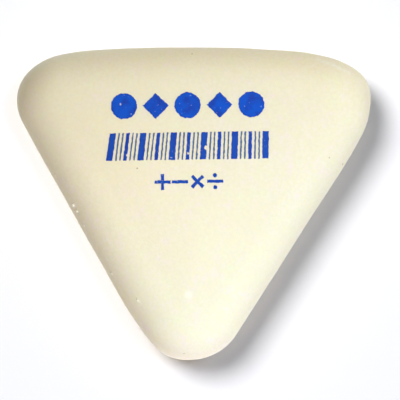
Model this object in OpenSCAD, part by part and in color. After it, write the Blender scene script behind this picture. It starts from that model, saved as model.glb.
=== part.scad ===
// Triangular eraser: one tumbled block of soft rubber with a blue print on its upper face.
// The origin is under the middle of the block, on the surface that it lies on.
// +X runs along the long edge, +Y points at the long edge and -Y at the tip.

/* [Block] */
// Width across the two shoulders
block_w = 51; // [42:0.5:62]
// Depth from the long edge to the tip
block_d = 45.2; // [37:0.2:55]
// Thickness between the two flat faces
block_h = 13; // [9:0.5:18]
// Radius of the two shoulder corners, seen from above
shoulder_r = 7; // [5:0.1:9]
// Radius of the tip corner, seen from above
tip_r = 7.8; // [5:0.1:10]
// How far the long edge bows out between the shoulders
long_bow = 1.25; // [0.3:0.05:1.5]
// How far each flank bows out between its shoulder and the tip
flank_bow = 0.2; // [0.1:0.05:0.6]
// Radius of the rounded rim round both faces, as far as the wall allows
rim_r = 6; // [3:0.1:7.5]

/* [Print] */
// Thickness of the ink film
ink_t = 0.05; // [0.02:0.01:0.2]
// Shift of the print along the long edge, to the right
print_x = -0.75; // [-2:0.05:2]
// Turn of the print, anticlockwise
print_turn = 2; // [-4:0.5:4]
// Gap between the upper limit of the flat face and the print
print_margin = 0.8; // [0.5:0.1:3]
// Gap between one row of the print and the next
row_gap = 2; // [1:0.1:3]

/* [Marks] */
// Number of marks in the upper row, discs and lozenges by turns
mark_count = 5; // [3:2:7]
// Height of a mark
mark_h = 3.7; // [2:0.1:4.5]
// Gap between two marks
mark_gap = 0.85; // [0.3:0.05:1.2]

/* [Stripes] */
// Height of the stripe row
stripe_h = 3.9; // [2:0.1:5]
// Bare flat face left at each end of the stripe row
stripe_end_gap = 3.3; // [2:0.1:6]
// Number of repeats in the stripe row
stripe_repeats = 5; // [2:1:5]
// Width of a wide stripe
wide_w = 0.9; // [0.6:0.05:1.1]
// Width of a medium stripe
medium_w = 0.5; // [0.3:0.05:0.6]
// Width of a narrow stripe
narrow_w = 0.22; // [0.1:0.02:0.3]
// Lean of the leftmost stripe, to the right
lean_left = 9; // [0:0.5:10]
// Lean of the rightmost stripe, to the right
lean_right = 1; // [0:0.5:10]

/* [Signs] */
// Width and height of an arithmetic sign
sign_size = 2.3; // [1.6:0.1:2.8]
// Gap between two signs
sign_gap = 0.2; // [0.1:0.05:1]
// Stroke width of a sign
sign_stroke = 0.45; // [0.2:0.05:0.6]
// Diameter of the two dots of the division sign
dot_d = 0.6; // [0.4:0.05:0.7]

/* [Hidden] */
rubber_colour = [0.97, 0.94, 0.84];
ink_colour = [0.10, 0.33, 0.78];

// Least height of the upright band and least flat inside a corner that the rim leaves
rim_rest = 0.2;
edge_r = min(rim_r, (block_h - rim_rest) / 2, shoulder_r - rim_rest, tip_r - rim_rest);

// Number of signs in the lower row
sign_count = 4;

// Facets of a rim's quarter round, of a corner and of a full circle of the edge arcs
round_fn = 48;
corner_fn = 96;
edge_fn = 1440;

// Seen from above, the outline is three long arcs that run smoothly into three corner arcs
shoulder_x = block_w / 2 - shoulder_r;
shoulder_y = block_d / 2 - long_bow - shoulder_r;
left_c = [-shoulder_x, shoulder_y];
right_c = [shoulder_x, shoulder_y];
tip_c = [0, tip_r - block_d / 2];

long_path_r = bow_radius(2 * shoulder_x, long_bow);
long_r = long_path_r + shoulder_r;
long_c = [0, shoulder_y + long_bow - long_path_r];
flank_r = bow_radius(norm(right_c - tip_c), flank_bow) + (shoulder_r + tip_r) / 2;
right_flank_c = arc_centre(right_c, shoulder_r, tip_c, tip_r, flank_r);
left_flank_c = [-right_flank_c[0], right_flank_c[1]];

// Each corner: its centre, its radius and the centres of the two long arcs beside it
corners = [
    [left_c, shoulder_r, left_flank_c, long_c],
    [right_c, shoulder_r, long_c, right_flank_c],
    [tip_c, tip_r, right_flank_c, left_flank_c]
];

// The rows of the print hang from the upper limit of the flat face
mark_y = block_d / 2 - edge_r - print_margin - mark_h / 2;
stripe_y = mark_y - mark_h / 2 - row_gap - stripe_h / 2;
sign_y = stripe_y - stripe_h / 2 - row_gap - sign_size / 2;

stripe_row_w = 2 * (flat_half_w(stripe_y - stripe_h / 2) - stripe_end_gap);
repeat_w = (stripe_row_w - wide_w) / stripe_repeats;
stripe_gap = (repeat_w / 2 - wide_w / 2 - medium_w / 2 - 2 * narrow_w) / 3;

// Radius of an arc that stands this far out over its chord
function bow_radius(chord, bow) = (chord * chord / 4 + bow * bow) / (2 * bow);

function turned_left(v) = [-v[1], v[0]];
function heading(v) = atan2(v[1], v[0]);
function unit(v) = v / norm(v);

// Centre of an arc that touches two circles from outside round both, left of it going first to second
function arc_centre(first_c, first_r, second_c, second_r, arc_r) =
    let (
        across = norm(second_c - first_c),
        first_reach = arc_r - first_r,
        second_reach = arc_r - second_r,
        along = (first_reach ^ 2 - second_reach ^ 2 + across ^ 2) / (2 * across),
        aside = sqrt(first_reach ^ 2 - along ^ 2),
        forward = unit(second_c - first_c)
    )
    first_c + along * forward - aside * turned_left(forward);

// Half the width of the flat face at this place along Y, taking the flanks as straight
function flat_half_w(y) =
    let (
        share = (y - tip_c[1]) / (right_c[1] - tip_c[1]),
        corner_r = tip_r + share * (shoulder_r - tip_r),
        slope = norm(right_c - tip_c) / (right_c[1] - tip_c[1])
    )
    share * shoulder_x + (corner_r - edge_r) * slope;

// Moves in whole millimetres and then by the rest, which keeps the fine digits of a far centre
module shift_far(v) {
    whole = [for (part = v) floor(part)];
    translate(whole)
        translate(v - whole)
            children();
}

// Half section of a disc with a rounded edge, from its outer radius inwards
module edge_section(r, depth) {
    shift_far([r, 0]) {
        translate([-depth, 0])
            square([depth - edge_r, block_h]);
        translate([-depth, edge_r])
            square([depth, block_h - 2 * edge_r]);
        for (z = [edge_r, block_h - edge_r])
            intersection() {
                translate([-edge_r, z])
                    circle(r = edge_r, $fn = round_fn);
                translate([-edge_r, 0])
                    square([edge_r, block_h]);
            }
    }
}

// Everything inside one long arc, as far as the block reaches
module inside_arc(centre, r) {
    reach = max(block_w, block_d) + shoulder_r;
    half_angle = asin(block_w / r);
    shift_far(centre)
        rotate_extrude(angle = 2 * half_angle, start = heading(-centre) - half_angle, $fn = edge_fn)
            edge_section(r, reach);
}

// Everything outside a corner's centre, between the two arcs that it joins
module corner_wedge(corner) {
    first = block_w * unit(corner[0] - corner[2]);
    second = block_w * unit(corner[0] - corner[3]);
    translate([0, 0, -block_h])
        linear_extrude(3 * block_h)
            polygon([corner[0], corner[0] + first, corner[0] + first + second, corner[0] + second]);
}

module rubber_block() {
    color(rubber_colour) {
        difference() {
            intersection() {
                inside_arc(long_c, long_r);
                inside_arc(right_flank_c, flank_r);
                inside_arc(left_flank_c, flank_r);
            }
            for (corner = corners)
                corner_wedge(corner);
        }
        for (corner = corners)
            intersection() {
                translate(corner[0])
                    rotate_extrude($fn = corner_fn)
                        edge_section(corner[1], corner[1]);
                corner_wedge(corner);
            }
    }
}

// Prints a flat shape on the upper face, in the row at this place along Y
module printed(row_y) {
    color(ink_colour)
        translate([print_x, stripe_y, block_h])
            rotate(print_turn)
                linear_extrude(ink_t)
                    translate([0, row_y - stripe_y])
                        children();
}

// Repeats a mark at every second place of the upper row
module mark_row(first) {
    printed(mark_y)
        for (i = [first : 2 : mark_count - 1])
            translate([(i - (mark_count - 1) / 2) * (mark_h + mark_gap), 0])
                children();
}

module disc_marks() {
    mark_row(0)
        circle(d = mark_h, $fn = corner_fn);
}

module lozenge_marks() {
    mark_row(1)
        rotate(45)
            square(mark_h / sqrt(2), center = true);
}

// One stripe, centred this far from the left end of the row; the lean fades along the row
module stripe(x, w) {
    lean = lean_left + (lean_right - lean_left) * x / stripe_row_w;
    aside = stripe_h / 2 * tan(lean);
    translate([x - stripe_row_w / 2, 0])
        polygon([
            [-w / 2 - aside, -stripe_h / 2],
            [w / 2 - aside, -stripe_h / 2],
            [w / 2 + aside, stripe_h / 2],
            [-w / 2 + aside, stripe_h / 2]
        ]);
}

module wide_stripes() {
    printed(stripe_y)
        for (i = [0 : stripe_repeats])
            stripe(wide_w / 2 + i * repeat_w, wide_w);
}

module medium_stripes() {
    printed(stripe_y)
        for (i = [0 : stripe_repeats - 1])
            stripe(wide_w / 2 + (i + 0.5) * repeat_w, medium_w);
}

// Two narrow stripes on each side of every medium one
module narrow_stripes() {
    inner = medium_w / 2 + stripe_gap + narrow_w / 2;
    outer = inner + narrow_w + stripe_gap;
    printed(stripe_y)
        for (i = [0 : stripe_repeats - 1])
            for (offset_x = [-outer, -inner, inner, outer])
                stripe(wide_w / 2 + (i + 0.5) * repeat_w + offset_x, narrow_w);
}

// Places a sign at its number in the lower row, counted from the left
module sign_at(i) {
    printed(sign_y)
        translate([(i - (sign_count - 1) / 2) * (sign_size + sign_gap), 0])
            children();
}

module bar() {
    square([sign_size, sign_stroke], center = true);
}

module cross() {
    bar();
    rotate(90)
        bar();
}

module plus_sign() {
    sign_at(0)
        cross();
}

module minus_sign() {
    sign_at(1)
        bar();
}

module times_sign() {
    sign_at(2)
        rotate(45)
            cross();
}

module divide_sign() {
    dot_y = (sign_size - dot_d) / 2;
    sign_at(3) {
        bar();
        for (y = [-dot_y, dot_y])
            translate([0, y])
                circle(d = dot_d, $fn = round_fn);
    }
}

rubber_block();
disc_marks();
lozenge_marks();
wide_stripes();
medium_stripes();
narrow_stripes();
plus_sign();
minus_sign();
times_sign();
divide_sign();
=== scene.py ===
import math

import bmesh
import bpy
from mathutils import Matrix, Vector


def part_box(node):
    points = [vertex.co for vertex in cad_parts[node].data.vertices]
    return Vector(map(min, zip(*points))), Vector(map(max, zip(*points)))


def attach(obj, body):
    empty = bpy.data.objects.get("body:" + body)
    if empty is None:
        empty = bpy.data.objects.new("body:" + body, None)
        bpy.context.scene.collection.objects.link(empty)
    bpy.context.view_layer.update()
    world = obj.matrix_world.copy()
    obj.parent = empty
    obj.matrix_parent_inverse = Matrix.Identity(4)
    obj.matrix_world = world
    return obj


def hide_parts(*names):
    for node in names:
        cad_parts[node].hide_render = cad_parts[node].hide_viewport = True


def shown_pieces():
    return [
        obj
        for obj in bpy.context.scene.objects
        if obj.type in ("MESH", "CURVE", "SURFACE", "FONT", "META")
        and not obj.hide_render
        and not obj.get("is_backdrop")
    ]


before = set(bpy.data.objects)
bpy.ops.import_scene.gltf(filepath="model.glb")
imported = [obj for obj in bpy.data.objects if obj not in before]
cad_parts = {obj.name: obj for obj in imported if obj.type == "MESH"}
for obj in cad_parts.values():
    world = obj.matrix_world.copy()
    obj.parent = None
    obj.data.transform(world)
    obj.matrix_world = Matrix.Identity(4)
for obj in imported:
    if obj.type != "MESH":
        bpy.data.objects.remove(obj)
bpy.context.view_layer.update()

bl_info = {
    "name": "Triangular Eraser",
    "version": (1, 0, 0),
    "blender": (4, 5, 0),
    "location": "View3D > Sidebar > Eraser",
    "description": "Models a worn triangular eraser and its blue print round the packed frame",
    "category": "Add Mesh",
}

MM = 0.001
ORIGIN = (0.0, 0.0, 0.0)
BLOCK_LOW, BLOCK_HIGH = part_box("rubber_block")
BLOCK_SIZE = BLOCK_HIGH - BLOCK_LOW
BLOCK_NAME = "rubber_body"
BODY = "root"

MARK_NODES = ("disc_marks", "lozenge_marks")
STRIPE_NODES = ("wide_stripes", "medium_stripes", "narrow_stripes")
SIGN_NODES = ("plus_sign", "minus_sign", "times_sign", "divide_sign")

# Steps along each arc of the outline, and rings of faces on each rounded rim
OUTLINE_STEPS = 24
RIM_RINGS = 12

# Rings of faces on the flat part of each side, as shares of its size
FACE_SHARES = (0.94, 0.82, 0.66, 0.48, 0.3, 0.16, 0.06)

# Half the height of the upright band between the two rims
HALF_BAND = 0.1 * MM

# A face lies level when the Z of its normal is over this
LEVEL = 0.9

# Points closer than this are merged, on a mesh and where two arcs of the outline meet
SAME_POINT = 0.001 * MM
ARC_GAP = 0.05 * MM

# Width of the swellings of the skin, and the height over the floor from which they are full
SWELL_WIDTH = 8 * MM
SWELL_FULL = 3 * MM

# Places where use has pushed the outline in or out: the heading from the middle of the block in
# degrees, how far the rubber stands out or in, and how far round the place that reaches
WORN_PLACES = (
    (91.0, -0.13 * MM, 14 * MM),
    (148.0, 0.1 * MM, 6 * MM),
    (137.6, -0.23 * MM, 6 * MM),
    (127.6, 0.11 * MM, 5 * MM),
    (53.4, 0.1 * MM, 6 * MM),
    (45.2, -0.3 * MM, 6 * MM),
    (35.9, 0.29 * MM, 5 * MM),
    (27.5, -0.23 * MM, 6 * MM),
    (15.0, 0.12 * MM, 7 * MM),
    (-71.5, 0.09 * MM, 5 * MM),
    (-98.6, 0.16 * MM, 5 * MM),
    (-107.0, -0.26 * MM, 6 * MM),
    (-124.5, 0.13 * MM, 8 * MM),
)

# Marks of use on the upper side, with a painted highlight among them: X, Y and radius
DUST_SPECKS = (
    (-8.0 * MM, 4.8 * MM, 0.13 * MM),
    (19.4 * MM, 6.85 * MM, 0.13 * MM),
    (21.4 * MM, 6.0 * MM, 0.18 * MM),
    (-0.5 * MM, 21.35 * MM, 0.12 * MM),
    (-0.8 * MM, -21.55 * MM, 0.13 * MM),
)
# Crumbs stand out as real bumps, and their colour is also painted paler, partly as a painted highlight
PALE_CRUMBS = (
    (-17.0 * MM, -0.6 * MM, 0.27 * MM),
    (-16.45 * MM, -1.5 * MM, 0.22 * MM),
    (-15.4 * MM, -3.55 * MM, 0.13 * MM),
    (-11.3 * MM, -10.3 * MM, 0.15 * MM),
    (-19.7 * MM, 3.6 * MM, 0.13 * MM),
    (-7.6 * MM, -14.0 * MM, 0.13 * MM),
)
# The first entry is a painted highlight, a pale spot on the face near the tip; the others are scuffs
# along the right shoulder
SCUFFS_AND_HIGHLIGHT = (
    (-0.3 * MM, -13.1 * MM, 0.8 * MM),
    (17.6 * MM, 20.9 * MM, 0.6 * MM),
    (18.3 * MM, 20.65 * MM, 0.6 * MM),
    (19.0 * MM, 20.4 * MM, 0.7 * MM),
    (19.8 * MM, 20.1 * MM, 0.7 * MM),
    (20.6 * MM, 19.75 * MM, 0.7 * MM),
    (21.4 * MM, 19.4 * MM, 0.6 * MM),
    (22.0 * MM, 19.1 * MM, 0.5 * MM),
)

# Shape of a crumb along X, Y and Z, as shares of its radius
CRUMB_SHAPE = (1.2, 0.85, 0.6)

# Uneven border of the marks of use and of the painted highlights: the scale of its noise, how far it
# strays, and the share of a mark's radius at which the mark has faded out
STRAY_SCALE = 4500
STRAY = 0.3 * MM
FADED = 1.2

# Height from which the upper side of the block is looked for
WELL_ABOVE = 1.0

# Patches of colour in the rubber: the name of their setting, the scale, detail and seed of their
# noise, and the noise at which they begin and at which they are full
RUBBER_PATCHES = (
    ("aged", 60, 4, 0, 0.42, 0.68),
    ("rosy", 420, 4, 1, 0.46, 0.7),
    ("greenish", 520, 4, 2, 0.46, 0.7),
    ("mottled", 1700, 2, 3, 0.32, 0.7),
)

# Places where the print has come off: X, Y and radius
BARE_PLACES = (
    (1.86 * MM, 7.95 * MM, 0.3 * MM),
    (-0.75 * MM, 7.1 * MM, 0.16 * MM),
    (-9.5 * MM, 6.6 * MM, 0.14 * MM),
)

# Name of the attribute that marks the border of an ink film
BORDER = "border"

# Ink films: the bend that still counts as straight, the rounds of cuts that shorten the edges, the
# width of the ragged waves along the border, and the gap between film and rubber
STRAIGHT = math.radians(0.5)
CUT_ROUNDS = 8
RAGGED_WIDTH = 0.35 * MM
FILM_GAP = 0.005 * MM

FLOOR_COLOUR = (0.9, 0.9, 0.9, 1)
FLOOR_ROUGHNESS = 0.9
WORLD_COLOUR = (1.0, 1.0, 1.0, 1)
CAMERA_NEAR = 0.01

# Where the soft lights look
MIDDLE = (0.0, 0.0, 0.01)

# Soft square lights on the eraser, warm from above and behind, mostly cool from the sides and the
# front: name, place, width, strength and tint
SOFT_LIGHTS = (
    ("overhead", (0.0, 0.0, 0.3), 0.12, 0.148, (1.67, 1.0, 0.615)),
    ("behind", (0.0, 0.15, 0.26), 0.12, 0.04, (1.2, 1.0, 0.55)),
    ("side", (0.2075, 0.2075, 0.0624), 0.12, 0.13, (0.64, 1.0, 1.42)),
    ("near_right", (0.06, 0.03, 0.13), 0.05, 0.079, (0.77, 1.0, 1.15)),
    ("near_front", (0.0, -0.05, 0.08), 0.05, 0.029, (0.65, 1.0, 1.27)),
    ("near_corner", (0.03, -0.03, 0.08), 0.05, 0.0145, (0.5, 1.0, 2.0)),
    ("low_front", (0.012, -0.085, 0.021), 0.04, 0.0115, (1.05, 0.85, 1.35)),
    ("near_left", (-0.055, 0.05, 0.028), 0.05, 0.0035, (0.32, 1.0, 1.65)),
    ("near_shoulder", (0.064, 0.05, 0.04), 0.03, 0.0038, (0.85, 0.85, 0.95)),
)

# Warm spot on the left part of the upper face, from the right
WARM_SPOT_PLACE = (0.05, 0.02, 0.12)
WARM_SPOT_AIM = (-0.0115, 0.0, 0.013)
WARM_SPOT_STRENGTH = 0.0235
WARM_SPOT_TINT = (2.0, 1.0, 0.2)
WARM_SPOT_CONE = math.radians(16)
WARM_SPOT_RADIUS = 0.01

# Glow of the lit floor beside the eraser: name, place, length, width, heading in degrees and strength
GLOW_TINT = (0.87, 1.0, 1.22)
FLOOR_GLOWS = (
    ("flank_glow", (18.2 * MM, -6.0 * MM, 0.3 * MM), 38 * MM, 9 * MM, 58.4, 0.00085),
    ("tip_glow", (2.5 * MM, -27.5 * MM, 0.3 * MM), 20 * MM, 11 * MM, 12.0, 0.0009),
    ("shoulder_glow", (28.5 * MM, 14.5 * MM, 0.3 * MM), 10 * MM, 7 * MM, 82.0, 0.00015),
)

# Suns on the floor: name, place, strength, spread in degrees and tint. The first throws the soft
# shadow. The second, cool and high on the right, lights it and throws a faint shade on the left
FLOOR_SUNS = (
    ("shade", (-0.0732, 0.0693, 0.196), 0.975 * math.pi, 24, (1.015, 1.0, 1.01)),
    ("halo", (0.085, 0.035, 0.2984), 0.17 * math.pi, 16, (0.8, 0.95, 1.3)),
)


def length(name, description, default):
    """A length that a user can set."""
    return bpy.props.FloatProperty(
        name=name, description=description, default=default, unit="LENGTH", precision=6
    )


def angle(name, description, degrees):
    """An angle that a user can set."""
    return bpy.props.FloatProperty(
        name=name, description=description, default=math.radians(degrees), unit="ROTATION"
    )


def colour(name, description, default):
    """A colour that a user can set."""
    return bpy.props.FloatVectorProperty(
        name=name, description=description, default=default, subtype="COLOR", size=4, min=0, max=1
    )


def factor(name, description, default):
    """A share from 0 to 1 that a user can set."""
    return bpy.props.FloatProperty(
        name=name, description=description, default=default, subtype="FACTOR", min=0, max=1
    )


class EraserBlockSettings(bpy.types.PropertyGroup):
    """Sizes and colours of the rubber block"""

    width: length("Width", "Width across the two shoulders", BLOCK_SIZE.x)
    depth: length("Depth", "Depth from the long edge to the tip", BLOCK_SIZE.y)
    height: length("Height", "Thickness between the two faces", BLOCK_SIZE.z)
    left_radius: length("Left Shoulder", "Radius of the left shoulder", 6.75 * MM)
    right_radius: length("Right Shoulder", "Radius of the right shoulder", 7.34 * MM)
    tip_radius: length("Tip", "Radius of the tip", 7.92 * MM)
    tip_shift: length("Tip Shift", "How far the tip stands to the right of the middle", -0.14 * MM)
    long_bow: length("Long Bow", "How far the long edge bows out", 1.19 * MM)
    flank_bow: length("Flank Bow", "How far each flank bows out", 0.13 * MM)
    rim_width: length("Rim Width", "How far the rounded rim reaches over each face", 6.3 * MM)
    rim_fullness: bpy.props.FloatProperty(
        name="Rim Fullness", description="Exponent of the rim's section, 2 for an ellipse", default=2.3
    )
    crown: length("Crown", "How far the upper face swells in its middle", 0.45 * MM)
    spare: length("Spare", "Room left inside the box for the uneven skin", 0.08 * MM)
    uneven: length("Uneven", "How far the skin swells and sinks between its extremes", 0.14 * MM)
    rubber: colour("Rubber", "Colour of the clean rubber", (0.957, 0.786, 0.544, 1))
    aged: colour("Aged Rubber", "Colour of the yellowed patches", (0.937, 0.766, 0.492, 1))
    rosy: colour("Rosy Rubber", "Colour of the rosier patches", (0.973, 0.755, 0.59, 1))
    greenish: colour("Greenish Rubber", "Colour of the greener patches", (0.916, 0.802, 0.488, 1))
    # The crumb colour is paler than the rubber, partly as a painted highlight
    crumb_and_highlight: colour("Crumb", "Colour of the pale crumbs", (0.99, 0.86, 0.58, 1))
    mottled: colour("Mottled Rubber", "Colour of the fine mottling", (0.937, 0.768, 0.454, 1))
    grained: colour("Grained", "Colour of the fine grain", (0.903, 0.744, 0.473, 1))
    # The scuffed colour also paints the highlight near the tip
    scuffed_and_highlit: colour("Scuffed", "Colour of the scuffed rubber", (0.985, 0.86, 0.65, 1))
    dust: colour("Dust", "Colour of the specks of dust", (0.26, 0.17, 0.07, 1))


class EraserPrintSettings(bpy.types.PropertyGroup):
    """Sizes and colours of the print"""

    film: length("Film", "Thickness of the ink film", 0.025 * MM)
    grain: length("Grain", "Longest edge along the ragged border of the ink", 0.12 * MM)
    bold_ragged: length("Bold Ragged", "How far the border of the upper row strays", 0.28 * MM)
    fine_ragged: length("Fine Ragged", "How far the border of the stripes and signs strays", 0.18 * MM)
    border: length("Border", "Width of the dark border of the ink", 0.09 * MM)
    bold_ink: colour("Bold Ink", "Colour of the ink of the upper row", (0.004, 0.083, 0.47, 1))
    fine_ink: colour("Fine Ink", "Colour of the ink of the stripes and signs", (0.01, 0.069, 0.345, 1))
    deep_ink: colour("Deep Ink", "Colour of the ink where it lies thick", (0.006, 0.04, 0.30, 1))
    thin_ink: colour("Thin Ink", "Colour of the scant ink of the narrow stripes", (0.11, 0.16, 0.25, 1))
    thin_deep: colour("Thin Deep Ink", "The same where it lies thick", (0.075, 0.12, 0.225, 1))
    bare: colour("Bare", "Colour of the rubber that shows through pinholes", (0.80, 0.74, 0.62, 1))


class EraserStageSettings(bpy.types.PropertyGroup):
    """Floor, camera and faint light of the stage"""

    floor_size: length("Floor", "Width of the floor", 6.0)
    lens: bpy.props.FloatProperty(name="Lens", description="Focal length", default=600, unit="CAMERA")
    camera_height: length("Camera Height", "Height of the camera over the floor", 0.9641)
    camera_x: length("Camera X", "Sideways place of the camera", 1.07 * MM)
    camera_y: length("Camera Y", "Place of the camera along the depth", 0.465 * MM)
    roll: angle("Roll", "Roll of the camera", 1.11)
    ambient: factor("Ambient", "Strength of the light from all round", 0.045)


def select_only(piece):
    """Select one piece and make it the active one."""
    bpy.ops.object.select_all(action="DESELECT")
    piece.select_set(True)
    bpy.context.view_layer.objects.active = piece


def select_faces(piece, test):
    """Select the faces that pass the test, in edit mode."""
    bpy.ops.mesh.select_mode(type="FACE")
    mesh = bmesh.from_edit_mesh(piece.data)
    for face in mesh.faces:
        face.select_set(test(face))
    mesh.select_flush_mode()
    bmesh.update_edit_mesh(piece.data)


def apply_modifier(piece, kind, **options):
    """Add a modifier with these options and apply it."""
    modifier = piece.modifiers.new(kind.title(), kind)
    for option, value in options.items():
        setattr(modifier, option, value)
    select_only(piece)
    bpy.ops.object.modifier_apply(modifier=modifier.name)


def clouds(name, scale, depth, tinted=False):
    """A cloud texture for the Displace modifier."""
    texture = bpy.data.textures.new(name, "CLOUDS")
    texture.noise_scale = scale
    texture.noise_depth = depth
    texture.cloud_type = "COLOR" if tinted else "GRAYSCALE"
    return texture


def make_node(tree, kind, inputs=(), **options):
    """Add a shader node, with its inputs given as values or as sockets to link."""
    made = tree.nodes.new(kind)
    for option, value in options.items():
        setattr(made, option, value)
    for socket, value in dict(inputs).items():
        if isinstance(value, bpy.types.NodeSocket):
            tree.links.new(value, made.inputs[socket])
        else:
            made.inputs[socket].default_value = value
    return made


def new_material(name):
    """A new material with a plain shader: the material, its node tree and the shader."""
    material = bpy.data.materials.new(name)
    material.use_nodes = True
    tree = material.node_tree
    tree.nodes.clear()
    output = make_node(tree, "ShaderNodeOutputMaterial")
    shader = make_node(tree, "ShaderNodeBsdfPrincipled")
    tree.links.new(shader.outputs["BSDF"], output.inputs["Surface"])
    return material, tree, shader


def object_place(tree):
    """The place of a point on its piece."""
    return make_node(tree, "ShaderNodeTexCoord").outputs["Object"]


def noise(tree, place, scale, detail=3.0, seed=0.0):
    """A noise over the place, from 0 to 1."""
    made = make_node(
        tree,
        "ShaderNodeTexNoise",
        {"Vector": place, "W": seed, "Scale": scale, "Detail": detail},
        noise_dimensions="4D",
    )
    return made.outputs["Fac"]


def ranged(tree, value, low, high, to_low=0.0, to_high=1.0):
    """Map a value smoothly from one range to another."""
    made = make_node(
        tree,
        "ShaderNodeMapRange",
        {"Value": value, 1: low, 2: high, 3: to_low, 4: to_high},
        interpolation_type="SMOOTHSTEP",
    )
    return made.outputs["Result"]


def larger(tree, first, second):
    """The larger of two values."""
    return make_node(tree, "ShaderNodeMath", {0: first, 1: second}, operation="MAXIMUM").outputs[0]


def blended(tree, share, first, second):
    """Mix two colours, each a value or a socket."""
    made = make_node(tree, "ShaderNodeMix", data_type="RGBA")
    tree.links.new(share, made.inputs[0])
    for socket, value in ((made.inputs[6], first), (made.inputs[7], second)):
        if isinstance(value, bpy.types.NodeSocket):
            tree.links.new(value, socket)
        else:
            socket.default_value = value
    return made.outputs[2]


def skin_at(block, x, y):
    """The point of the block's upper side at this place."""
    hit, touched, _, _ = block.ray_cast((x, y, WELL_ABOVE), (0, 0, -1))
    if not hit:
        raise RuntimeError(f"The block has no skin at {x}, {y}")
    return touched


def spotted(tree, place, block, spots, strength, full):
    """How strongly each point belongs to one of these marks, whose borders are uneven; some are painted
    highlights.

    A mark has its strength out to the given share of its radius, and fades from there.
    """
    uneven = make_node(
        tree, "ShaderNodeTexNoise", {"Vector": place, "Scale": STRAY_SCALE, "Detail": 1.0}
    )
    stray = make_node(
        tree,
        "ShaderNodeVectorMath",
        {0: uneven.outputs["Color"], 1: (STRAY, STRAY, STRAY), 2: place},
        operation="MULTIPLY_ADD",
    )
    total = None
    for x, y, radius in spots:
        centre = skin_at(block, x, y) + Vector((STRAY, STRAY, STRAY)) / 2
        away = make_node(
            tree, "ShaderNodeVectorMath", {0: stray.outputs[0], 1: centre}, operation="DISTANCE"
        )
        near = ranged(tree, away.outputs["Value"], full * radius, FADED * radius, strength, 0)
        total = larger(tree, total, near) if total else near
    return total


def rubber_finish(settings, block):
    """Soft cream rubber, patchy and finely grained, with scuffs, a painted highlight near the tip,
    crumbs painted paler partly as a highlight, and specks of dust.
    """
    material, tree, shader = new_material("eraser_rubber")
    place = object_place(tree)
    skin = settings.rubber[:]
    for name, scale, detail, seed, low, high in RUBBER_PATCHES:
        share = ranged(tree, noise(tree, place, scale, detail, seed), low, high)
        skin = blended(tree, share, skin, getattr(settings, name)[:])
    grain = ranged(tree, noise(tree, place, scale=2200), low=0.3, high=0.75)
    grained = ranged(tree, grain, low=0, high=1, to_high=0.75)
    skin = blended(tree, grained, skin, settings.grained[:])
    # Scuffs, and a painted highlight near the tip, in the scuffed colour
    scuffed_and_highlit = spotted(tree, place, block, SCUFFS_AND_HIGHLIGHT, strength=0.7, full=0.0)
    skin = blended(tree, scuffed_and_highlit, skin, settings.scuffed_and_highlit[:])
    # Crumbs, painted paler, partly as a highlight of the light they catch
    crumbs = spotted(tree, place, block, PALE_CRUMBS, strength=1.0, full=1.0)
    skin = blended(tree, crumbs, skin, settings.crumb_and_highlight[:])
    dusty = spotted(tree, place, block, DUST_SPECKS, strength=0.6, full=0.5)
    skin = blended(tree, dusty, skin, settings.dust[:])
    tree.links.new(skin, shader.inputs["Base Color"])
    roughness = ranged(tree, grain, low=0, high=1, to_low=0.55, to_high=0.7)
    tree.links.new(roughness, shader.inputs["Roughness"])
    shader.inputs["Specular IOR Level"].default_value = 0.2
    shader.inputs["Subsurface Weight"].default_value = 0.2
    shader.inputs["Subsurface Radius"].default_value = (1.0, 0.8, 0.5)
    shader.inputs["Subsurface Scale"].default_value = 1.2 * MM
    fine = make_node(
        tree,
        "ShaderNodeBump",
        {"Strength": 0.6, "Distance": 0.05 * MM, "Height": noise(tree, place, scale=5000)},
    )
    coarse = make_node(
        tree,
        "ShaderNodeBump",
        {
            "Strength": 0.3,
            "Distance": 0.2 * MM,
            "Height": noise(tree, place, scale=700),
            "Normal": fine.outputs["Normal"],
        },
    )
    tree.links.new(coarse.outputs["Normal"], shader.inputs["Normal"])
    return material


def ink_finish(settings, name, shown, deep):
    """Thin blue ink, thicker in patches and along its border, and broken by pinholes."""
    material, tree, shader = new_material(name)
    place = object_place(tree)
    patchy = ranged(tree, noise(tree, place, scale=900), low=0.38, high=0.72, to_high=0.85)
    border = make_node(tree, "ShaderNodeAttribute", attribute_name=BORDER).outputs["Fac"]
    edged = ranged(tree, border, low=0, high=1, to_high=0.75)
    thick = larger(tree, patchy, edged)
    blue = blended(tree, thick, shown, deep)
    speckle = noise(tree, place, scale=2600, detail=2)
    pinhole = ranged(tree, speckle, low=0.66, high=0.76, to_high=0.7)
    tree.links.new(blended(tree, pinhole, blue, settings.bare[:]), shader.inputs["Base Color"])
    roughness = ranged(tree, thick, low=0, high=1, to_low=0.65, to_high=0.5)
    tree.links.new(roughness, shader.inputs["Roughness"])
    shader.inputs["Specular IOR Level"].default_value = 0.12
    return material


def bow_radius(chord, bow):
    """Radius of an arc that stands this far out over its chord."""
    return (chord * chord / 4 + bow * bow) / (2 * bow)


def arc_centre(first, first_radius, second, second_radius, radius):
    """Centre of an arc round two circles that touches both.

    It lies on the left, going from the first circle to the second.
    """
    across = (second - first).length
    first_reach = radius - first_radius
    second_reach = radius - second_radius
    along = (first_reach**2 - second_reach**2 + across**2) / (2 * across)
    aside = math.sqrt(first_reach**2 - along**2)
    forward = (second - first).normalized()
    leftward = Vector((-forward.y, forward.x))
    return first + along * forward + aside * leftward


def heading(direction):
    """Heading of a direction, anticlockwise from X."""
    return math.atan2(direction.y, direction.x)


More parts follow.
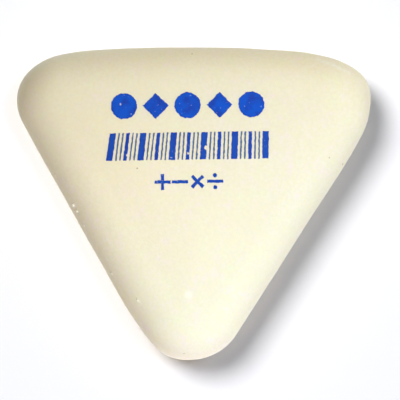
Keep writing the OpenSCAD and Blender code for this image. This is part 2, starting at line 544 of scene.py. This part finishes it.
def outline_arcs(settings):
    """The outline as arcs, anticlockwise from the right shoulder.

    Each arc is its centre, its radius and its first and last heading.
    """
    half_width = settings.width / 2 - settings.spare
    half_depth = settings.depth / 2 - settings.spare
    right, left, tip = settings.right_radius, settings.left_radius, settings.tip_radius
    shoulder_y = half_depth - settings.long_bow - (right + left) / 2
    corners = [
        (Vector((half_width - right, shoulder_y)), right),
        (Vector((left - half_width, shoulder_y)), left),
        (Vector((settings.tip_shift, tip - half_depth)), tip),
    ]
    bows = [settings.long_bow, settings.flank_bow, settings.flank_bow]
    followers = corners[1:] + corners[:1]
    sides = []
    for (first, first_radius), (second, second_radius), bow in zip(corners, followers, bows):
        chord = (second - first).length
        radius = bow_radius(chord, bow) + (first_radius + second_radius) / 2
        sides.append((arc_centre(first, first_radius, second, second_radius, radius), radius))
    arcs = []
    for i, (corner, radius) in enumerate(corners):
        side, side_radius = sides[i]
        before = sides[i - 1][0]
        follower = followers[i][0]
        arcs.append((corner, radius, heading(corner - before), heading(corner - side)))
        arcs.append((side, side_radius, heading(corner - side), heading(follower - side)))
    return arcs


def draw_outline(arcs, height):
    """Spin one point round all the arcs and fill the loop with a face."""
    centre, radius, start, _ = arcs[0]
    first = centre + radius * Vector((math.cos(start), math.sin(start)))
    bpy.ops.mesh.primitive_plane_add(size=MM)
    block = bpy.context.object
    block.name = BLOCK_NAME
    bpy.ops.object.mode_set(mode="EDIT")
    bpy.ops.mesh.merge(type="CENTER")
    bpy.ops.transform.translate(value=(first.x, first.y, height))
    for centre, _, start, end in arcs:
        bpy.ops.mesh.spin(
            steps=OUTLINE_STEPS,
            angle=(end - start) % math.tau,
            center=(centre.x, centre.y, height),
            axis=(0, 0, -1),
        )
    bpy.ops.mesh.select_all(action="SELECT")
    bpy.ops.mesh.remove_doubles(threshold=ARC_GAP)
    bpy.ops.mesh.edge_face_add()
    return block


def round_face(block, pointing, settings, rise, crown):
    """Round the rim of the face that points up (1) or down (-1) and swell the rest of it.

    A small hole stays open in its middle.
    """
    select_faces(block, lambda face: face.normal.z * pointing > LEVEL)
    last_in, last_up = 0.0, 0.0
    power = 2 / settings.rim_fullness
    for i in range(1, RIM_RINGS + 1):
        turn = math.pi / 2 * i / RIM_RINGS
        now_in = settings.rim_width * (1 - math.cos(turn) ** power)
        now_up = rise * math.sin(turn) ** power
        bpy.ops.mesh.inset(thickness=now_in - last_in, depth=now_up - last_up)
        last_in, last_up = now_in, now_up
    share = 1.0
    for target in FACE_SHARES:
        shrink = target / share
        lift = crown * (share**2 - target**2) * pointing
        bpy.ops.mesh.inset(thickness=0, depth=0)
        bpy.ops.transform.translate(value=(0, 0, lift))
        bpy.ops.transform.resize(value=(shrink, shrink, 1), center_override=ORIGIN)
        share = target
    bpy.ops.mesh.delete(type="ONLY_FACE")


def close_faces(block):
    """Close the hole in the middle of both faces with a fan."""
    quad_sides = 4
    select_only(block)
    bpy.ops.object.mode_set(mode="EDIT")
    bpy.ops.mesh.select_all(action="SELECT")
    bpy.ops.mesh.fill_holes(sides=0)
    select_faces(block, lambda face: len(face.verts) > quad_sides)
    bpy.ops.mesh.poke()
    bpy.ops.mesh.select_all(action="SELECT")
    bpy.ops.mesh.normals_make_consistent(inside=False)
    bpy.ops.object.mode_set(mode="OBJECT")


def wear_outline(block, middle):
    """Push each worn place of the outline in or out, fading round it."""
    for degrees, depth, reach in WORN_PLACES:
        bpy.ops.mesh.select_mode(type="VERT")
        bpy.ops.mesh.select_all(action="DESELECT")
        mesh = bmesh.from_edit_mesh(block.data)
        turn = math.radians(degrees)
        toward = Vector((math.cos(turn), math.sin(turn)))
        waist = [vertex for vertex in mesh.verts if abs(vertex.co.z - middle) < 2 * HALF_BAND]
        spot = max(waist, key=lambda vertex: vertex.co.xy.normalized().dot(toward))
        spot.select_set(True)
        push = Vector((spot.normal.x, spot.normal.y, 0)).normalized() * depth
        bmesh.update_edit_mesh(block.data)
        bpy.ops.transform.translate(
            value=push,
            use_proportional_edit=True,
            proportional_edit_falloff="SMOOTH",
            proportional_size=reach,
        )


def unsettle(block, settings):
    """Swell and sink the skin a little, less and less towards the resting face."""
    group = block.vertex_groups.new(name="off_floor")
    for vertex in block.data.vertices:
        group.add([vertex.index], min(vertex.co.z / SWELL_FULL, 1.0) ** 2, "REPLACE")
    apply_modifier(
        block,
        "DISPLACE",
        texture=clouds("uneven_skin", SWELL_WIDTH, 1),
        texture_coords="LOCAL",
        direction="NORMAL",
        strength=settings.uneven,
        mid_level=0.5,
        vertex_group=group.name,
    )
    block.vertex_groups.clear()


def stick_crumbs(block):
    """Stick small crumbs of rubber on the rim, half sunk into it."""
    crumbs = [(skin_at(block, x, y), radius) for x, y, radius in PALE_CRUMBS]
    block_faces = len(block.data.polygons)
    select_only(block)
    bpy.ops.object.mode_set(mode="EDIT")
    for place, radius in crumbs:
        bpy.ops.mesh.primitive_ico_sphere_add(
            subdivisions=2, radius=radius, location=place, scale=CRUMB_SHAPE
        )
    select_faces(block, lambda face: face.index >= block_faces)
    bpy.ops.mesh.intersect_boolean(operation="UNION", solver="EXACT")
    bpy.ops.object.mode_set(mode="OBJECT")


class ERASER_OT_make_block(bpy.types.Operator):
    """Model the rubber block with its rounded rim and worn corners"""

    bl_idname = "eraser.make_block"
    bl_label = "Make Block"

    def execute(self, context):
        settings = context.scene.eraser_block
        bpy.ops.object.select_all(action="DESELECT")
        middle = settings.height / 2
        block = draw_outline(outline_arcs(settings), middle - HALF_BAND)
        bpy.ops.mesh.extrude_region_move(TRANSFORM_OT_translate={"value": (0, 0, 2 * HALF_BAND)})
        bpy.ops.mesh.select_all(action="SELECT")
        bpy.ops.mesh.normals_make_consistent(inside=False)
        upper_rise = middle - HALF_BAND - settings.spare - settings.crown
        round_face(block, 1, settings, upper_rise, settings.crown)
        round_face(block, -1, settings, middle - HALF_BAND, 0)
        bpy.ops.mesh.select_all(action="SELECT")
        bpy.ops.mesh.remove_doubles(threshold=SAME_POINT)
        bpy.ops.mesh.normals_make_consistent(inside=False)
        wear_outline(block, middle)
        bpy.ops.object.mode_set(mode="OBJECT")
        apply_modifier(block, "SUBSURF", levels=1, render_levels=1)
        close_faces(block)
        unsettle(block, settings)
        stick_crumbs(block)
        bpy.ops.object.shade_smooth()
        block.data.materials.append(rubber_finish(settings, block))
        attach(block, BODY)
        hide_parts("rubber_block")
        return {"FINISHED"}


def is_bare(face):
    """Whether a face of an ink film lies where the print has come off."""
    place = face.calc_center_median().xy
    return any((place - Vector((x, y))).length < radius for x, y, radius in BARE_PLACES)


def cut_film(context, node, settings):
    """Cut the upper side of one node's CAD film into short edges, with its border marked."""
    film = bpy.data.objects.new(f"ink_{node}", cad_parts[node].data.copy())
    context.collection.objects.link(film)
    select_only(film)
    bpy.ops.object.mode_set(mode="EDIT")
    bpy.ops.mesh.select_all(action="SELECT")
    bpy.ops.mesh.remove_doubles(threshold=SAME_POINT)
    select_faces(film, lambda face: face.normal.z < LEVEL)
    bpy.ops.mesh.delete(type="FACE")
    bpy.ops.mesh.select_all(action="SELECT")
    bpy.ops.mesh.dissolve_limited(angle_limit=STRAIGHT)
    bpy.ops.mesh.inset(thickness=settings.border)
    mesh = bmesh.from_edit_mesh(film.data)
    mark = mesh.faces.layers.float.new(BORDER)
    for face in mesh.faces:
        face[mark] = not face.select
    bmesh.update_edit_mesh(film.data)
    bpy.ops.mesh.select_mode(type="EDGE")
    for _ in range(CUT_ROUNDS):
        mesh = bmesh.from_edit_mesh(film.data)
        for edge in mesh.edges:
            edge.select_set(edge.calc_length() > settings.grain)
        bmesh.update_edit_mesh(film.data)
        bpy.ops.mesh.subdivide(number_cuts=1)
    bpy.ops.mesh.select_all(action="SELECT")
    bpy.ops.mesh.quads_convert_to_tris(ngon_method="BEAUTY")
    select_faces(film, is_bare)
    bpy.ops.mesh.delete(type="FACE")
    bpy.ops.object.mode_set(mode="OBJECT")
    return film


def lay_film(context, node, ink, ragged):
    """Lay the ink of one node on the block as a film whose border strays this far."""
    settings = context.scene.eraser_print
    film = cut_film(context, node, settings)
    apply_modifier(
        film,
        "DISPLACE",
        texture=clouds("ink_border", RAGGED_WIDTH, 2, tinted=True),
        texture_coords="LOCAL",
        direction="RGB_TO_XYZ",
        strength=ragged,
        mid_level=0.5,
    )
    apply_modifier(
        film,
        "SHRINKWRAP",
        target=bpy.data.objects[BLOCK_NAME],
        wrap_method="PROJECT",
        use_project_z=True,
        use_negative_direction=True,
        use_positive_direction=True,
        offset=FILM_GAP,
    )
    apply_modifier(film, "SOLIDIFY", thickness=settings.film, offset=1)
    bpy.ops.object.shade_flat()
    film.data.materials.clear()
    film.data.materials.append(ink)
    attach(film, BODY)
    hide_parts(node)


class ERASER_OT_print_marks(bpy.types.Operator):
    """Print the row of discs and lozenges"""

    bl_idname = "eraser.print_marks"
    bl_label = "Print Marks"

    def execute(self, context):
        settings = context.scene.eraser_print
        ink = ink_finish(settings, "bold_ink", settings.bold_ink[:], settings.deep_ink[:])
        for node in MARK_NODES:
            lay_film(context, node, ink, settings.bold_ragged)
        return {"FINISHED"}


class ERASER_OT_print_stripes(bpy.types.Operator):
    """Print the row of wide, medium and narrow stripes"""

    bl_idname = "eraser.print_stripes"
    bl_label = "Print Stripes"

    def execute(self, context):
        settings = context.scene.eraser_print
        ink = ink_finish(settings, "stripe_ink", settings.fine_ink[:], settings.deep_ink[:])
        thin = ink_finish(settings, "thin_ink", settings.thin_ink[:], settings.thin_deep[:])
        for node in STRIPE_NODES:
            lay_film(context, node, thin if node == "narrow_stripes" else ink, settings.fine_ragged)
        return {"FINISHED"}


class ERASER_OT_print_signs(bpy.types.Operator):
    """Print the row of arithmetic signs"""

    bl_idname = "eraser.print_signs"
    bl_label = "Print Signs"

    def execute(self, context):
        settings = context.scene.eraser_print
        ink = ink_finish(settings, "sign_ink", settings.fine_ink[:], settings.deep_ink[:])
        for node in SIGN_NODES:
            lay_film(context, node, ink, settings.fine_ragged)
        return {"FINISHED"}


def lay_floor(settings):
    """Lay the pale floor."""
    bpy.ops.object.select_all(action="DESELECT")
    bpy.ops.mesh.primitive_plane_add(size=settings.floor_size)
    floor = bpy.context.object
    floor.name = "floor"
    material, _, shader = new_material("pale_floor")
    shader.inputs["Base Color"].default_value = FLOOR_COLOUR
    shader.inputs["Roughness"].default_value = FLOOR_ROUGHNESS
    shader.inputs["Specular IOR Level"].default_value = 0.0
    floor.data.materials.append(material)
    floor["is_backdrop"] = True
    return floor


def set_world(scene, settings):
    """Light everything faintly from all round."""
    world = bpy.data.worlds.new("soft_studio")
    scene.world = world
    world.use_nodes = True
    background = world.node_tree.nodes["Background"]
    background.inputs["Color"].default_value = WORLD_COLOUR
    background.inputs["Strength"].default_value = settings.ambient


def collection_of(name, pieces):
    """A collection outside the scene that tells a light which pieces it reaches."""
    made = bpy.data.collections.new(name)
    for piece in pieces:
        made.objects.link(piece)
    return made


def add_light(kind, name, place, target, reached, **options):
    """Add a light that looks at the target and reaches only the pieces of a collection."""
    bpy.ops.object.light_add(type=kind, location=place)
    lamp = bpy.context.object
    lamp.name = name
    lamp.rotation_euler = (Vector(target) - Vector(place)).to_track_quat("-Z", "Y").to_euler()
    for option, value in options.items():
        setattr(lamp.data, option, value)
    lamp.visible_camera = False
    lamp.light_linking.receiver_collection = reached
    return lamp


def light_eraser(on_eraser):
    """Add the soft lights, the warm spot and the glow of the floor."""
    for name, place, size, energy, tint in SOFT_LIGHTS:
        add_light("AREA", name, place, MIDDLE, on_eraser, energy=energy, size=size, color=tint)
    add_light(
        "SPOT",
        "warm_spot",
        WARM_SPOT_PLACE,
        WARM_SPOT_AIM,
        on_eraser,
        energy=WARM_SPOT_STRENGTH,
        color=WARM_SPOT_TINT,
        spot_size=WARM_SPOT_CONE,
        spot_blend=1,
        shadow_soft_size=WARM_SPOT_RADIUS,
    )
    for name, place, long, wide, turn, energy in FLOOR_GLOWS:
        glow = add_light("AREA", name, place, MIDDLE, on_eraser, energy=energy, color=GLOW_TINT)
        glow.data.shape = "RECTANGLE"
        glow.data.size = long
        glow.data.size_y = wide
        glow.rotation_euler = (math.pi, 0, math.radians(turn))


def light_floor(on_floor):
    """Add the two suns of the floor."""
    for name, place, energy, spread, tint in FLOOR_SUNS:
        sun = add_light("SUN", name, place, ORIGIN, on_floor, energy=energy, color=tint)
        sun.data.angle = math.radians(spread)


def set_camera(scene, settings):
    """Set the camera over the eraser, with colours shown as they are."""
    bpy.ops.object.camera_add(
        location=(settings.camera_x, settings.camera_y, settings.camera_height),
        rotation=(0, 0, settings.roll),
    )
    camera = bpy.context.object
    camera.data.lens = settings.lens
    camera.data.clip_start = CAMERA_NEAR
    scene.camera = camera
    scene.view_settings.view_transform = "Standard"


class ERASER_OT_set_stage(bpy.types.Operator):
    """Set the pale floor, the soft lights and the camera"""

    bl_idname = "eraser.set_stage"
    bl_label = "Set Stage"

    def execute(self, context):
        settings = context.scene.eraser_stage
        floor = lay_floor(settings)
        set_world(context.scene, settings)
        light_eraser(collection_of("lit_eraser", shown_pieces()))
        light_floor(collection_of("lit_floor", [floor]))
        set_camera(context.scene, settings)
        return {"FINISHED"}


class ERASER_PT_sidebar(bpy.types.Panel):
    """Lists the steps that build the eraser and their settings"""

    bl_idname = "ERASER_PT_sidebar"
    bl_label = "Triangular Eraser"
    bl_space_type = "VIEW_3D"
    bl_region_type = "UI"
    bl_category = "Eraser"

    def draw(self, context):
        for step in STEPS:
            self.layout.operator(step.bl_idname)
        for name, kind in SETTINGS.items():
            box = self.layout.box()
            for setting in kind.__annotations__:
                box.prop(getattr(context.scene, name), setting)


SETTINGS = {
    "eraser_block": EraserBlockSettings,
    "eraser_print": EraserPrintSettings,
    "eraser_stage": EraserStageSettings,
}
STEPS = (
    ERASER_OT_make_block,
    ERASER_OT_print_marks,
    ERASER_OT_print_stripes,
    ERASER_OT_print_signs,
    ERASER_OT_set_stage,
)


def register():
    for name, settings in SETTINGS.items():
        bpy.utils.register_class(settings)
        setattr(bpy.types.Scene, name, bpy.props.PointerProperty(type=settings))
    for step in STEPS:
        bpy.utils.register_class(step)
    bpy.utils.register_class(ERASER_PT_sidebar)


def unregister():
    bpy.utils.unregister_class(ERASER_PT_sidebar)
    for step in reversed(STEPS):
        bpy.utils.unregister_class(step)
    for name, settings in SETTINGS.items():
        delattr(bpy.types.Scene, name)
        bpy.utils.unregister_class(settings)


def main():
    register()
    bpy.ops.eraser.make_block()
    bpy.ops.eraser.print_marks()
    bpy.ops.eraser.print_stripes()
    bpy.ops.eraser.print_signs()
    bpy.ops.eraser.set_stage()


if __name__ == "__main__":
    main()
